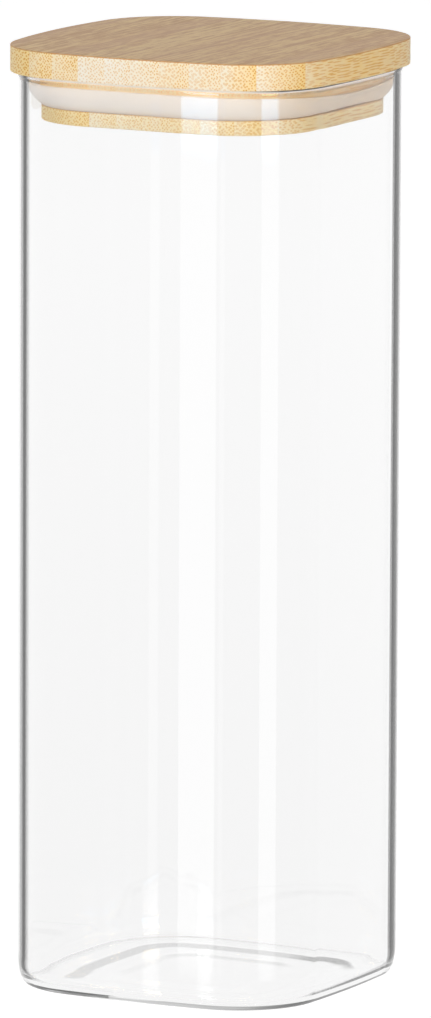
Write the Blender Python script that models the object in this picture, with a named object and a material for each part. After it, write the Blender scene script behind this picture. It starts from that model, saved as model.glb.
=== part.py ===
"""Tall square storage jar: blown glass body, laminated bamboo lid, silicone seal.

Metres, +Z up. The origin is the middle of the face that the jar stands on. The long grain of
the lid runs along Y, so the -Y and +Y edges of the lid are end grain. The lid's pieces hang on
one empty, which stands on the axis that the lid lifts along.
"""

from math import atan2, cos, pi, radians, sin, sqrt

import bmesh
import bpy
from mathutils import Vector

# Glass body
JAR_SIDE = 0.1000            # across the flats, where the corner rounds begin
JAR_CORNER_RADIUS = 0.0280
JAR_SWELL = 0.00073          # how far the middle of each side stands out
JAR_HEIGHT = 0.2790          # standing face to rim
GLASS_WALL = 0.0022
GLASS_FLOOR = 0.0030
HEEL_WIDTH = 0.0026          # outer round at the foot, inwards
HEEL_HEIGHT = 0.0088         # and upwards
INNER_HEEL_WIDTH = 0.0042
INNER_HEEL_HEIGHT = 0.0050
FOOT_WIDTH = 0.0100          # flat ring that the jar stands on
PUNT_DEPTH = 0.0007          # shallow hollow inside that ring
PUNT_SLOPE = 0.0040
BEAD_HEIGHT = 0.0024         # thickened, fire-polished rim
BEAD_PROUD = 0.0003
BEAD_ROUND = 0.0009

# Bamboo lid
LID_SEAT_GAP = 0.0003        # plate to rim
LID_OVERHANG = 0.00375       # plate past the jar's flats
LID_CORNER_EASE = 0.0029     # plate corners are that much rounder than the jar's
PLATE_THICKNESS = 0.0074
LID_ARRIS = 0.0004           # broken edges
NECK_CLEARANCE = 0.0031      # neck to the glass inside
PLUG_STEP = 0.00035          # plug slimmer than the neck
PLUG_CORNER_EASE = 0.0029
NECK_HEIGHT = 0.0063
GROOVE_HEIGHT = 0.0040
FLANGE_HEIGHT = 0.0045
GROOVE_DEPTH = 0.0031

# Strips that the lid's board is glued up from
GLUE_GAP = 0.0003
STRIP_EDGE_SHARES = (-0.88, -0.66, -0.44, -0.22, 0.0, 0.24, 0.48, 0.72, 0.96)
WEST_STRIP_MARGIN = 0.0007   # first glue line past the neck
EAST_STRIP_MARGIN = 0.0050   # last glue line past the neck

# Silicone seal
SEAL_GAP = 0.0003            # to the groove's walls
LIP_GAP = 0.0003             # to the glass
LIP_HEADROOM = 0.0033        # lip's edge below the plate
LIP_THICKNESS = 0.0010
LIP_EDGE_THICKNESS = 0.0006

# Smoothness of the faceted shapes
CORNER_STEPS = 10
SIDE_STEPS = 6
HEEL_STEPS = 6
BEAD_STEPS = 6
LIP_STEPS = 7
SMOOTH_ANGLE = radians(32)

# Finishes, as sRGB hex
GLASS_COLOUR = "F4F7F6"
SILICONE_COLOUR = "E9DED6"
BAMBOO_PALE = "F3DFBF"
BAMBOO_HONEY = "E2BC82"
STRIP_HONEY_SHARES = (0.75, 0.70, 0.55, 0.25, 0.10, 0.30, 0.15, 0.60, 0.35, 0.80, 0.65, 0.70)
BAMBOO_ROUGHNESS = 0.55
SILICONE_ROUGHNESS = 0.60
GLASS_IOR = 1.52
SILICONE_IOR = 1.41

# What follows from the sizes above
JAR_HALF = JAR_SIDE / 2
INSIDE_HALF = JAR_HALF - GLASS_WALL
INSIDE_RADIUS = JAR_CORNER_RADIUS - GLASS_WALL
SEAT_HEIGHT = JAR_HEIGHT + LID_SEAT_GAP
LID_HALF = JAR_HALF + LID_OVERHANG
LID_CORNER_RADIUS = JAR_CORNER_RADIUS + LID_OVERHANG + LID_CORNER_EASE
NECK_HALF = INSIDE_HALF - NECK_CLEARANCE
NECK_RADIUS = INSIDE_RADIUS - NECK_CLEARANCE + PLUG_CORNER_EASE
PLUG_HALF = NECK_HALF - PLUG_STEP
PLUG_RADIUS = NECK_RADIUS - PLUG_STEP
CORE_HALF = PLUG_HALF - GROOVE_DEPTH
CORE_RADIUS = PLUG_RADIUS - GROOVE_DEPTH
GROOVE_TOP = -NECK_HEIGHT
GROOVE_FLOOR = GROOVE_TOP - GROOVE_HEIGHT
PLUG_BOTTOM = GROOVE_FLOOR - FLANGE_HEIGHT


class Ring:
    """One level of a square form with round corners: how wide, how round, how swollen, how high."""

    def __init__(self, half, radius, swell, height):
        self.half = half
        self.radius = radius
        self.swell = swell
        self.height = height

    def inset(self, distance, height):
        """The ring that runs that far inside this one, at another height."""
        return Ring(self.half - distance, self.radius - distance, self.swell, height)

    def toward(self, other, share, height):
        """A ring between this one and another."""
        return Ring(
            self.half + (other.half - self.half) * share,
            self.radius + (other.radius - self.radius) * share,
            self.swell + (other.swell - self.swell) * share,
            height,
        )

    def points(self):
        """Points of the outline, counter-clockwise from the middle of the -X-Y corner round.

        Each side is a flat arc that meets the corner rounds without a kink.
        """
        centre = self.half - self.radius
        lean = 2 * atan2(self.swell, centre)
        reach = centre + self.radius * sin(lean)
        bend = sin(lean) / reach
        quarter = []
        for step in range(CORNER_STEPS + 1):
            angle = lean + (pi / 2 - 2 * lean) * step / CORNER_STEPS
            quarter.append((centre + self.radius * cos(angle), centre + self.radius * sin(angle)))
        for step in range(1, SIDE_STEPS):
            along = reach * (1 - 2 * step / SIDE_STEPS)
            drop = bend * along**2 / (1 + sqrt(1 - (bend * along) ** 2))
            quarter.append((along, self.half + self.swell - drop))
        loop = []
        for turn in range(4):
            angle = pi + turn * pi / 2
            for x, y in quarter:
                loop.append(Vector((
                    x * cos(angle) - y * sin(angle),
                    x * sin(angle) + y * cos(angle),
                    self.height,
                )))
        return loop


def skin(rings, closed=False):
    """A mesh stretched over rings of equal point counts, capped at both ends unless closed."""
    mesh = bmesh.new()
    loops = [[mesh.verts.new(point) for point in ring.points()] for ring in rings]
    pairs = list(zip(loops, loops[1:]))
    if closed:
        pairs.append((loops[-1], loops[0]))
    for lower, upper in pairs:
        count = len(lower)
        for i in range(count):
            j = (i + 1) % count
            mesh.faces.new((lower[i], lower[j], upper[j], upper[i]))
    if not closed:
        mesh.faces.new(list(reversed(loops[0])))
        mesh.faces.new(loops[-1])
    bmesh.ops.recalc_face_normals(mesh, faces=mesh.faces)
    return mesh


def linear(hex_colour):
    """An sRGB hex colour as linear red, green, blue and alpha."""
    values = [int(hex_colour[i:i + 2], 16) / 255 for i in (0, 2, 4)]
    return [v / 12.92 if v <= 0.04045 else ((v + 0.055) / 1.055) ** 2.4 for v in values] + [1.0]


def finish(name, colour, roughness, ior=1.5, transmission=0.0):
    """A Principled material."""
    material = bpy.data.materials.new(name)
    material.use_nodes = True
    material.diffuse_color = colour
    shader = material.node_tree.nodes["Principled BSDF"]
    shader.inputs["Base Color"].default_value = colour
    shader.inputs["Roughness"].default_value = roughness
    shader.inputs["Metallic"].default_value = 0.0
    shader.inputs["IOR"].default_value = ior
    shader.inputs["Transmission Weight"].default_value = transmission
    return material


def place(name, mesh, material, parent=None):
    """Puts a mesh into the scene as a named piece, smooth but for its real edges."""
    data = bpy.data.meshes.new(name)
    mesh.to_mesh(data)
    mesh.free()
    data.shade_smooth()
    data.set_sharp_from_angle(angle=SMOOTH_ANGLE)
    data.materials.append(material)
    piece = bpy.data.objects.new(name, data)
    piece.parent = parent
    bpy.context.scene.collection.objects.link(piece)
    return piece


def quarter_arc(steps):
    """Sine and cosine shares of a quarter round, both ends included."""
    return [(sin(pi / 2 * step / steps), cos(pi / 2 * step / steps)) for step in range(steps + 1)]


def make_jar():
    """The glass: one skin from the hollow underfoot, up outside, over the rim, down to the floor."""
    outside = Ring(JAR_HALF, JAR_CORNER_RADIUS, JAR_SWELL, JAR_HEIGHT)
    inside = outside.inset(GLASS_WALL, JAR_HEIGHT)
    foot_inset = HEEL_WIDTH + FOOT_WIDTH
    rings = [
        outside.inset(foot_inset + PUNT_SLOPE, PUNT_DEPTH),
        outside.inset(foot_inset, 0),
    ]
    for rise, stay in quarter_arc(HEEL_STEPS):
        rings.append(outside.inset(HEEL_WIDTH * (1 - rise), HEEL_HEIGHT * (1 - stay)))
    rings.append(outside.inset(0, JAR_HEIGHT - BEAD_HEIGHT))
    crest = (GLASS_WALL - BEAD_PROUD) / 2
    half_rim = (GLASS_WALL + BEAD_PROUD) / 2
    for step in range(2 * BEAD_STEPS + 1):
        angle = pi / 2 * step / BEAD_STEPS
        inset = crest - half_rim * cos(angle)
        rings.append(outside.inset(inset, JAR_HEIGHT - BEAD_ROUND * (1 - sin(angle))))
    for rise, stay in quarter_arc(HEEL_STEPS):
        inset = INNER_HEEL_WIDTH * (1 - stay)
        rings.append(inside.inset(inset, GLASS_FLOOR + INNER_HEEL_HEIGHT * (1 - rise)))
    glass = finish("clear_glass", linear(GLASS_COLOUR), 0.0, GLASS_IOR, 1.0)
    return place("glass_jar", skin(rings), glass)


def lid_blank():
    """The whole lid as one board, milled to shape; heights count from the plate's underside."""
    plate = Ring(LID_HALF, LID_CORNER_RADIUS, 0, 0)
    neck = Ring(NECK_HALF, NECK_RADIUS, 0, 0)
    plug = Ring(PLUG_HALF, PLUG_RADIUS, 0, 0)
    core = Ring(CORE_HALF, CORE_RADIUS, 0, 0)
    return skin([
        plug.inset(LID_ARRIS, PLUG_BOTTOM),
        plug.inset(0, PLUG_BOTTOM + LID_ARRIS),
        plug.inset(0, GROOVE_FLOOR),
        core.inset(0, GROOVE_FLOOR),
        core.inset(0, GROOVE_TOP),
        neck.inset(0, GROOVE_TOP),
        neck.inset(0, 0),
        plate.inset(LID_ARRIS, 0),
        plate.inset(0, LID_ARRIS),
        plate.inset(0, PLATE_THICKNESS - LID_ARRIS),
        plate.inset(LID_ARRIS, PLATE_THICKNESS),
    ])


def cut_flat(mesh, x, side):
    """Cuts a mesh square across X there and closes the cut; side is +1 to keep what lies past it."""
    cut = bmesh.ops.bisect_plane(
        mesh,
        geom=mesh.verts[:] + mesh.edges[:] + mesh.faces[:],
        plane_co=(x, 0, 0),
        plane_no=(side, 0, 0),
        clear_inner=True,
    )
    rim = [item for item in cut["geom_cut"] if isinstance(item, bmesh.types.BMEdge)]
    bmesh.ops.holes_fill(mesh, edges=rim, sides=0)


def make_strips(parent):
    """The bamboo strips that the board is glued up from, each as high as the whole lid."""
    edges = [CORE_HALF * share for share in STRIP_EDGE_SHARES]
    edges = [-NECK_HALF - WEST_STRIP_MARGIN] + edges + [NECK_HALF + EAST_STRIP_MARGIN]
    starts = [None] + [edge + GLUE_GAP / 2 for edge in edges]
    ends = [edge - GLUE_GAP / 2 for edge in edges] + [None]
    pale = linear(BAMBOO_PALE)
    honey = linear(BAMBOO_HONEY)
    strips = []
    for number, (start, end) in enumerate(zip(starts, ends), start=1):
        mesh = lid_blank()
        if start is not None:
            cut_flat(mesh, start, 1)
        if end is not None:
            cut_flat(mesh, end, -1)
        bmesh.ops.recalc_face_normals(mesh, faces=mesh.faces)
        share = STRIP_HONEY_SHARES[number - 1]
        colour = [p + (h - p) * share for p, h in zip(pale, honey)]
        bamboo = finish(f"bamboo_{number:02d}", colour, BAMBOO_ROUGHNESS)
        strips.append(place(f"bamboo_strip_{number:02d}", mesh, bamboo, parent))
    return strips


def make_seal(parent):
    """The seal: a root that sits in the groove, and a lip that flares up to the glass."""
    plug = Ring(PLUG_HALF, PLUG_RADIUS, 0, 0)
    glass = Ring(INSIDE_HALF - LIP_GAP, INSIDE_RADIUS - LIP_GAP, JAR_SWELL, 0)
    root_inset = GROOVE_DEPTH - SEAL_GAP
    bottom = GROOVE_FLOOR + SEAL_GAP
    root_top = GROOVE_TOP - SEAL_GAP
    lip_height = -LIP_HEADROOM - bottom
    root_share = (root_top - bottom) / lip_height
    edge_share = 1 - LIP_EDGE_THICKNESS / 2 / lip_height

    def lip(share, thickness):
        """The ring that far up the lip, and that far in from its outer face."""
        outer = plug.toward(glass, 1 - (1 - share) ** 2, 0)
        return outer.inset(thickness, bottom + lip_height * share)

    rings = [plug.inset(root_inset, bottom)]
    for step in range(LIP_STEPS):
        rings.append(lip(edge_share * step / (LIP_STEPS - 1), 0))
    rings.append(lip(1, LIP_EDGE_THICKNESS / 2))
    for step in range(LIP_STEPS):
        way = 1 - step / (LIP_STEPS - 1)
        share = root_share + (edge_share - root_share) * way
        rings.append(lip(share, LIP_THICKNESS + (LIP_EDGE_THICKNESS - LIP_THICKNESS) * way))
    rings.append(plug.inset(root_inset, root_top))
    silicone = finish("silicone", linear(SILICONE_COLOUR), SILICONE_ROUGHNESS, SILICONE_IOR)
    return place("silicone_seal", skin(rings, closed=True), silicone, parent)


def main():
    """Clears the scene and builds the jar, then the lid's pieces on their lifting axis."""
    for old in list(bpy.data.objects):
        bpy.data.objects.remove(old)
    make_jar()
    lid_axis = bpy.data.objects.new("lid_axis", None)
    lid_axis.location = (0, 0, SEAT_HEIGHT)
    bpy.context.scene.collection.objects.link(lid_axis)
    make_strips(lid_axis)
    make_seal(lid_axis)
    bpy.context.view_layer.update()


main()
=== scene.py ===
import logging
from collections.abc import Callable
from dataclasses import dataclass, replace
from enum import Enum
from functools import partial
from math import cos, pi, radians, sin, tan
from typing import Any

import bmesh
import bpy
from mathutils import Matrix, Vector


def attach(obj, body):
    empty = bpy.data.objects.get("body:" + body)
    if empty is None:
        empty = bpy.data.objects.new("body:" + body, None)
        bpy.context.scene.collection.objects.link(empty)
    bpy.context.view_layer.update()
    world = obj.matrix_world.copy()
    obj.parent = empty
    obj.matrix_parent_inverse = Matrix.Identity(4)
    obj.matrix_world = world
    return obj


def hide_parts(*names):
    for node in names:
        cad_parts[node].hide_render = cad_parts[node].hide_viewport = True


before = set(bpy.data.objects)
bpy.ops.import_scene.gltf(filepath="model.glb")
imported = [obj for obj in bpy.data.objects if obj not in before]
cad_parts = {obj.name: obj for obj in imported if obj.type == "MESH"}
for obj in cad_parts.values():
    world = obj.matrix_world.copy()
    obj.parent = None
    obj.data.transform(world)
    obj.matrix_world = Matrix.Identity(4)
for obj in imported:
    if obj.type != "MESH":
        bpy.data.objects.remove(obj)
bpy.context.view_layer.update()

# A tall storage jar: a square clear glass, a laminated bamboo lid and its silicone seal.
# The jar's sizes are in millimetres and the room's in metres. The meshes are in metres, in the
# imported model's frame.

MM = 0.001
WHITE = "#FFFFFF"
BLACK = "#000000"

# What adds a node to one tree; a ramp's places and colours; and fades, each along one axis.
Adder = Callable[..., Any]
Stops = tuple[tuple[float, Any], ...]
Limits = tuple[tuple[int, float, float], ...]

log = logging.getLogger("storage_jar")


class Body(Enum):
    """What a piece moves with."""

    JAR = "jar"
    LID = "lid"


class Slot(Enum):
    """The finishes that the record offers."""

    GLASS = "clear_glass"
    BAMBOO = "bamboo"
    SILICONE = "silicone"


class Fade(Enum):
    """How a share rises from 0 to 1."""

    STRAIGHT = "LINEAR"
    SOFT = "SMOOTHSTEP"


def linear(code: str) -> tuple[float, float, float, float]:
    """Turns an sRGB hex colour into the linear colour that Blender's sockets hold.

    Args:
        code: six hex digits after a hash sign.

    Returns:
        Red, green, blue and an alpha of one.
    """
    shares = [int(code[at:at + 2], 16) / 255 for at in (1, 3, 5)]
    red, green, blue = (s / 12.92 if s <= 0.04045 else ((s + 0.055) / 1.055) ** 2.4 for s in shares)
    return red, green, blue, 1.0


def add_node(tree: bpy.types.NodeTree, kind: str, *values: Any, named: dict | None = None,
             out: int | str | None = 0, **settings: Any) -> Any:
    """Adds a node to a tree, sets it up and links it.

    Args:
        tree: the tree that the node goes into.
        kind: Blender's name for the node, and its operation after a colon.
        values: what its inputs get, in order: a socket to link, a value, or None to leave it.
        named: what the inputs get that are given by their names.
        out: the output that is wanted back, or None for the node itself.
        settings: the node's own properties.

    Returns:
        The wanted output socket, or the node.
    """
    name, _, operation = kind.partition(":")
    made = tree.nodes.new(name if "Node" in name else "ShaderNode" + name)
    if operation:
        made.operation = operation
    for setting, value in settings.items():
        setattr(made, setting, value)
    for key, value in [*enumerate(values), *(named or {}).items()]:
        if isinstance(value, bpy.types.NodeSocket):
            tree.links.new(value, made.inputs[key])
        elif value is not None:
            made.inputs[key].default_value = value
    return made if out is None else made.outputs[out]


def fill_ramp(ramp: bpy.types.Node, stops: Stops) -> Any:
    """Gives a colour ramp its stops.

    Args:
        ramp: the ramp node.
        stops: the place and the colour of each stop, in rising order. A colour is sRGB hex, a
            linear colour, or a plain grey level.

    Returns:
        The socket of the ramp's colour.
    """
    elements = ramp.color_ramp.elements
    while len(elements) < len(stops):
        elements.new(1.0)
    for element, (place, colour) in zip(elements, stops):
        element.position = place
        if isinstance(colour, float):
            colour = (colour, colour, colour, 1.0)
        element.color = linear(colour) if isinstance(colour, str) else colour
    return ramp.outputs["Color"]


def fades(add: Adder, axes: Any, limits: Limits, unit: float = MM,
          rise: Fade = Fade.STRAIGHT) -> list[Any]:
    """How far a point has come between the two limits of each of several fades.

    Args:
        add: adds a node to the tree.
        axes: the sockets that the fades run along.
        limits: for each fade its axis, where it starts and where it is full.
        unit: what a limit's number is multiplied by.
        rise: how each fade rises.

    Returns:
        A share from 0 to 1 for each fade.
    """
    return [add("MapRange", axes[axis], start * unit, full * unit, interpolation_type=rise.value)
            for axis, start, full in limits]


def new_material(name: str) -> tuple[bpy.types.Material, Adder]:
    """Makes an empty node material.

    Args:
        name: the material's name.

    Returns:
        The material, and the function that adds a node to it.
    """
    made = bpy.data.materials.new(name)
    made.use_nodes = True
    made.node_tree.nodes.clear()
    return made, partial(add_node, made.node_tree)


def arc(span: float, steps: int) -> list[tuple[float, float]]:
    """The cosine and the sine at even steps from angle 0 to the span."""
    return [(cos(span * step / steps), sin(span * step / steps)) for step in range(steps + 1)]


def wave(steps: int = 8) -> list[tuple[float, float]]:
    """Even shares from 0 to 1, each with how far a soft wave has risen there."""
    return [(step / steps, (1 - cos(pi * step / steps)) / 2) for step in range(steps + 1)]


def sight_line(azimuth: float, elevation: float) -> Vector:
    """The direction from the jar to a place at these two angles, in degrees."""
    turn, rise = radians(azimuth), radians(elevation)
    return Vector((sin(turn) * cos(rise), -cos(turn) * cos(rise), sin(rise)))


@dataclass(frozen=True)
class Ring:
    """A rounded square at one height, whose sides swell outwards in a shallow arc."""

    half: float
    radius: float
    swell: float = 0.0
    height: float = 0.0
    lining: float = 0.0

    def inset(self, depth: float, height: float, lining: float = 0.0) -> "Ring":
        """The ring that lies that far inside this one.

        Args:
            depth: how far in, along the outline's own normal.
            height: where the new ring is.
            lining: 1 where it belongs to the inner finish.

        Returns:
            The new ring.
        """
        return Ring(self.half - depth, self.radius - depth, self.swell, height, lining)

    def toward(self, other: "Ring", share: float, height: float) -> "Ring":
        """The ring that far on the way to another one.

        Args:
            other: the ring at share 1.
            share: how far along, from 0 to 1.
            height: where the new ring is.

        Returns:
            The ring between.
        """
        return Ring(self.half + (other.half - self.half) * share,
                    self.radius + (other.radius - self.radius) * share,
                    self.swell + (other.swell - self.swell) * share, height)

    def shrunk(self, share: float, height: float, lining: float = 0.0) -> "Ring":
        """The same outline at a smaller scale, for a flat floor.

        Args:
            share: the scale, 0 for a single point.
            height: where the new ring is.
            lining: 1 where it belongs to the inner finish.

        Returns:
            The smaller ring.
        """
        return Ring(self.half * share, self.radius * share, self.swell * share, height, lining)


class LoftTree:
    """A Geometry Nodes tree that lofts a section's rings into a closed skin.

    The object that carries it holds one loose vertex for each ring, with the ring's half width,
    corner radius, swell and lining as attributes and its height as the vertex's own Z.
    """

    name = "rounded_square_loft"
    weld = 0.002
    lined_from = 0.99
    sockets = (("Section", "INPUT", "Geometry"), ("Corner Steps", "INPUT", "Int"),
               ("Side Steps", "INPUT", "Int"), ("Outer Finish", "INPUT", "Material"),
               ("Lining Finish", "INPUT", "Material"), ("Skin", "OUTPUT", "Geometry"))

    def __init__(self) -> None:
        """Builds the tree once, for every loft in the scene."""
        self.tree = bpy.data.node_groups.new(self.name, "GeometryNodeTree")
        for label, way, kind in self.sockets:
            socket = self.tree.interface.new_socket(label, in_out=way,
                                                    socket_type="NodeSocket" + kind)
            if kind == "Int":
                socket.min_value = 1
        self.wire(partial(add_node, self.tree))

    def wire(self, add: Adder) -> None:
        """Wires the tree: a grid of rows by columns, bent round the outline and closed.

        Args:
            add: adds a node to the tree.
        """
        given = add("NodeGroupInput", out=None).outputs
        section, corner, side = given["Section"], given["Corner Steps"], given["Side Steps"]
        rows = add("GeometryNodeAttributeDomainSize", named={"Geometry": section})
        block = add("Math:ADD", corner, side)
        columns = add("Math:MULTIPLY_ADD", block, 4.0, 1.0)
        grid = add("GeometryNodeMeshGrid", named={"Vertices X": columns, "Vertices Y": rows})
        index = add("GeometryNodeInputIndex")
        column = add("Math:FLOOR", add("Math:DIVIDE", add("Math:ADD", index, 0.5), rows))
        row = add("Math:SUBTRACT", index, add("Math:MULTIPLY", column, rows))

        place = add("GeometryNodeInputPosition")
        fields = [add("GeometryNodeInputNamedAttribute", named={"Name": label})
                  for label in ("half", "radius", "swell", "lining")]
        fields.append(add("SeparateXYZ", place, out="Z"))
        half, radius, swell, lining, height = (
            add("GeometryNodeSampleIndex", named={"Geometry": section, "Value": field, "Index": row},
                data_type="FLOAT") for field in fields)

        quarter = add("Math:FLOOR", add("Math:DIVIDE", add("Math:ADD", column, 0.5), block))
        step = add("Math:SUBTRACT", column, add("Math:MULTIPLY", quarter, block))
        x, y = self.outline(add, half, radius, swell, step, corner, side)
        flat = add("CombineXYZ", x, y, height)
        placed = add("VectorRotate", rotation_type="Z_AXIS",
                     named={"Vector": flat, "Angle": add("Math:MULTIPLY", quarter, pi / 2)})
        skin = add("GeometryNodeSetPosition", named={"Geometry": grid, "Position": placed})
        skin = add("GeometryNodeStoreNamedAttribute", data_type="FLOAT", domain="POINT",
                   named={"Geometry": skin, "Name": "lining", "Value": lining})
        skin = add("GeometryNodeMergeByDistance",
                   named={"Geometry": skin, "Distance": self.weld * MM})
        skin = add("GeometryNodeRealizeInstances", named={"Geometry": skin})
        skin = add("GeometryNodeSetMaterial",
                   named={"Geometry": skin, "Material": given["Outer Finish"]})
        stored = add("GeometryNodeInputNamedAttribute", named={"Name": "lining"})
        lined = add("FunctionNodeCompare:GREATER_EQUAL", stored, self.lined_from,
                    data_type="FLOAT")
        skin = add("GeometryNodeSetMaterial", named={
            "Geometry": skin, "Selection": lined, "Material": given["Lining Finish"]})
        add("NodeGroupOutput", named={"Skin": skin}, out=None)

    @staticmethod
    def outline(add: Adder, half: Any, radius: Any, swell: Any, step: Any, corner: Any,
                side: Any) -> tuple[Any, Any]:
        """Wires the way along one quarter of the outline: round a corner, then along a side.

        Args:
            add: adds a node to the tree.
            half: the ring's half width.
            radius: its corner radius.
            swell: how far its sides stand out in the middle.
            step: the step along this quarter.
            corner: the number of steps round the corner.
            side: the number of steps along the side.

        Returns:
            X and Y of the step.
        """
        centre = add("Math:SUBTRACT", half, radius)
        lean = add("Math:MULTIPLY", add("Math:ARCTAN2", swell, centre), 2.0)
        lean_sine = add("Math:SINE", lean)
        reach = add("Math:ADD", centre, add("Math:MULTIPLY", radius, lean_sine))
        bend = add("Math:DIVIDE", lean_sine, reach)

        sweep = add("Math:SUBTRACT", pi / 2, add("Math:MULTIPLY", lean, 2.0))
        angle = add("Math:MULTIPLY_ADD", sweep, add("Math:DIVIDE", step, corner), lean)
        corner_x, corner_y = (add("Math:MULTIPLY_ADD", radius, add(kind, angle), centre)
                              for kind in ("Math:COSINE", "Math:SINE"))

        way = add("Math:DIVIDE", add("Math:SUBTRACT", step, corner), side)
        along = add("Math:MULTIPLY", reach, add("Math:MULTIPLY_ADD", way, -2.0, 1.0))
        turn = add("Math:MULTIPLY", bend, along)
        depth = add("Math:SQRT", add("Math:SUBTRACT", 1.0, add("Math:MULTIPLY", turn, turn)))
        sag = add("Math:DIVIDE", add("Math:MULTIPLY", turn, along), add("Math:ADD", depth, 1.0))
        side_y = add("Math:SUBTRACT", add("Math:ADD", half, swell), sag)

        on_side = add("Math:GREATER_THAN", step, add("Math:ADD", corner, 0.5))
        on_corner = add("Math:SUBTRACT", 1.0, on_side)
        x, y = (add("Math:ADD", add("Math:MULTIPLY", on_side, straight),
                    add("Math:MULTIPLY", on_corner, bent))
                for straight, bent in ((along, corner_x), (side_y, corner_y)))
        return x, y

    def loft(self, rings: list[Ring], corner_steps: int, side_steps: int,
             outer: bpy.types.Material, lining: bpy.types.Material) -> bpy.types.Mesh:
        """Lofts a section into a plain closed mesh.

        Args:
            rings: the section, from one pole to the other.
            corner_steps: how finely each corner is divided.
            side_steps: how finely each side is divided.
            outer: the finish of the skin.
            lining: the finish where the rings are lining.

        Returns:
            The mesh, with its faces outwards.
        """
        section = bpy.data.meshes.new("section")
        section.from_pydata([(0, 0, ring.height * MM) for ring in rings], [], [])
        for label, scale in (("half", MM), ("radius", MM), ("swell", MM), ("lining", 1.0)):
            values = [getattr(ring, label) * scale for ring in rings]
            section.attributes.new(label, "FLOAT", "POINT").data.foreach_set("value", values)
        carrier = bpy.data.objects.new("section", section)
        bpy.context.scene.collection.objects.link(carrier)
        modifier = carrier.modifiers.new(self.name, "NODES")
        modifier.node_group = self.tree
        values = {"Corner Steps": corner_steps, "Side Steps": side_steps,
                  "Outer Finish": outer, "Lining Finish": lining}
        for item in self.tree.interface.items_tree:
            if item.name in values:
                modifier[item.identifier] = values[item.name]
        evaluated = carrier.evaluated_get(bpy.context.evaluated_depsgraph_get())
        skin = bpy.data.meshes.new_from_object(evaluated)
        bpy.data.objects.remove(carrier)
        bpy.data.meshes.remove(section)
        work = bmesh.new()
        work.from_mesh(skin)
        bmesh.ops.recalc_face_normals(work, faces=work.faces)
        work.to_mesh(skin)
        work.free()
        return skin


def place_piece(name: str, mesh: bpy.types.Mesh, body: Body,
                stands_for: str, crease: float) -> bpy.types.Object:
    """Puts a finished mesh into the scene as a piece of the jar.

    Args:
        name: the piece's name.
        mesh: its mesh, already in its place.
        body: what it moves with.
        stands_for: the CAD node that it replaces.
        crease: the angle in degrees past which an edge stays sharp.

    Returns:
        The piece.
    """
    mesh.name = name
    mesh.shade_smooth()
    mesh.set_sharp_from_angle(angle=radians(crease))
    piece = bpy.data.objects.new(name, mesh)
    bpy.context.scene.collection.objects.link(piece)
    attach(piece, body.value)
    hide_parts(stands_for)
    log.info("%s: %d faces, stands for %s", name, len(mesh.polygons), stands_for)
    return piece


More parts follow.
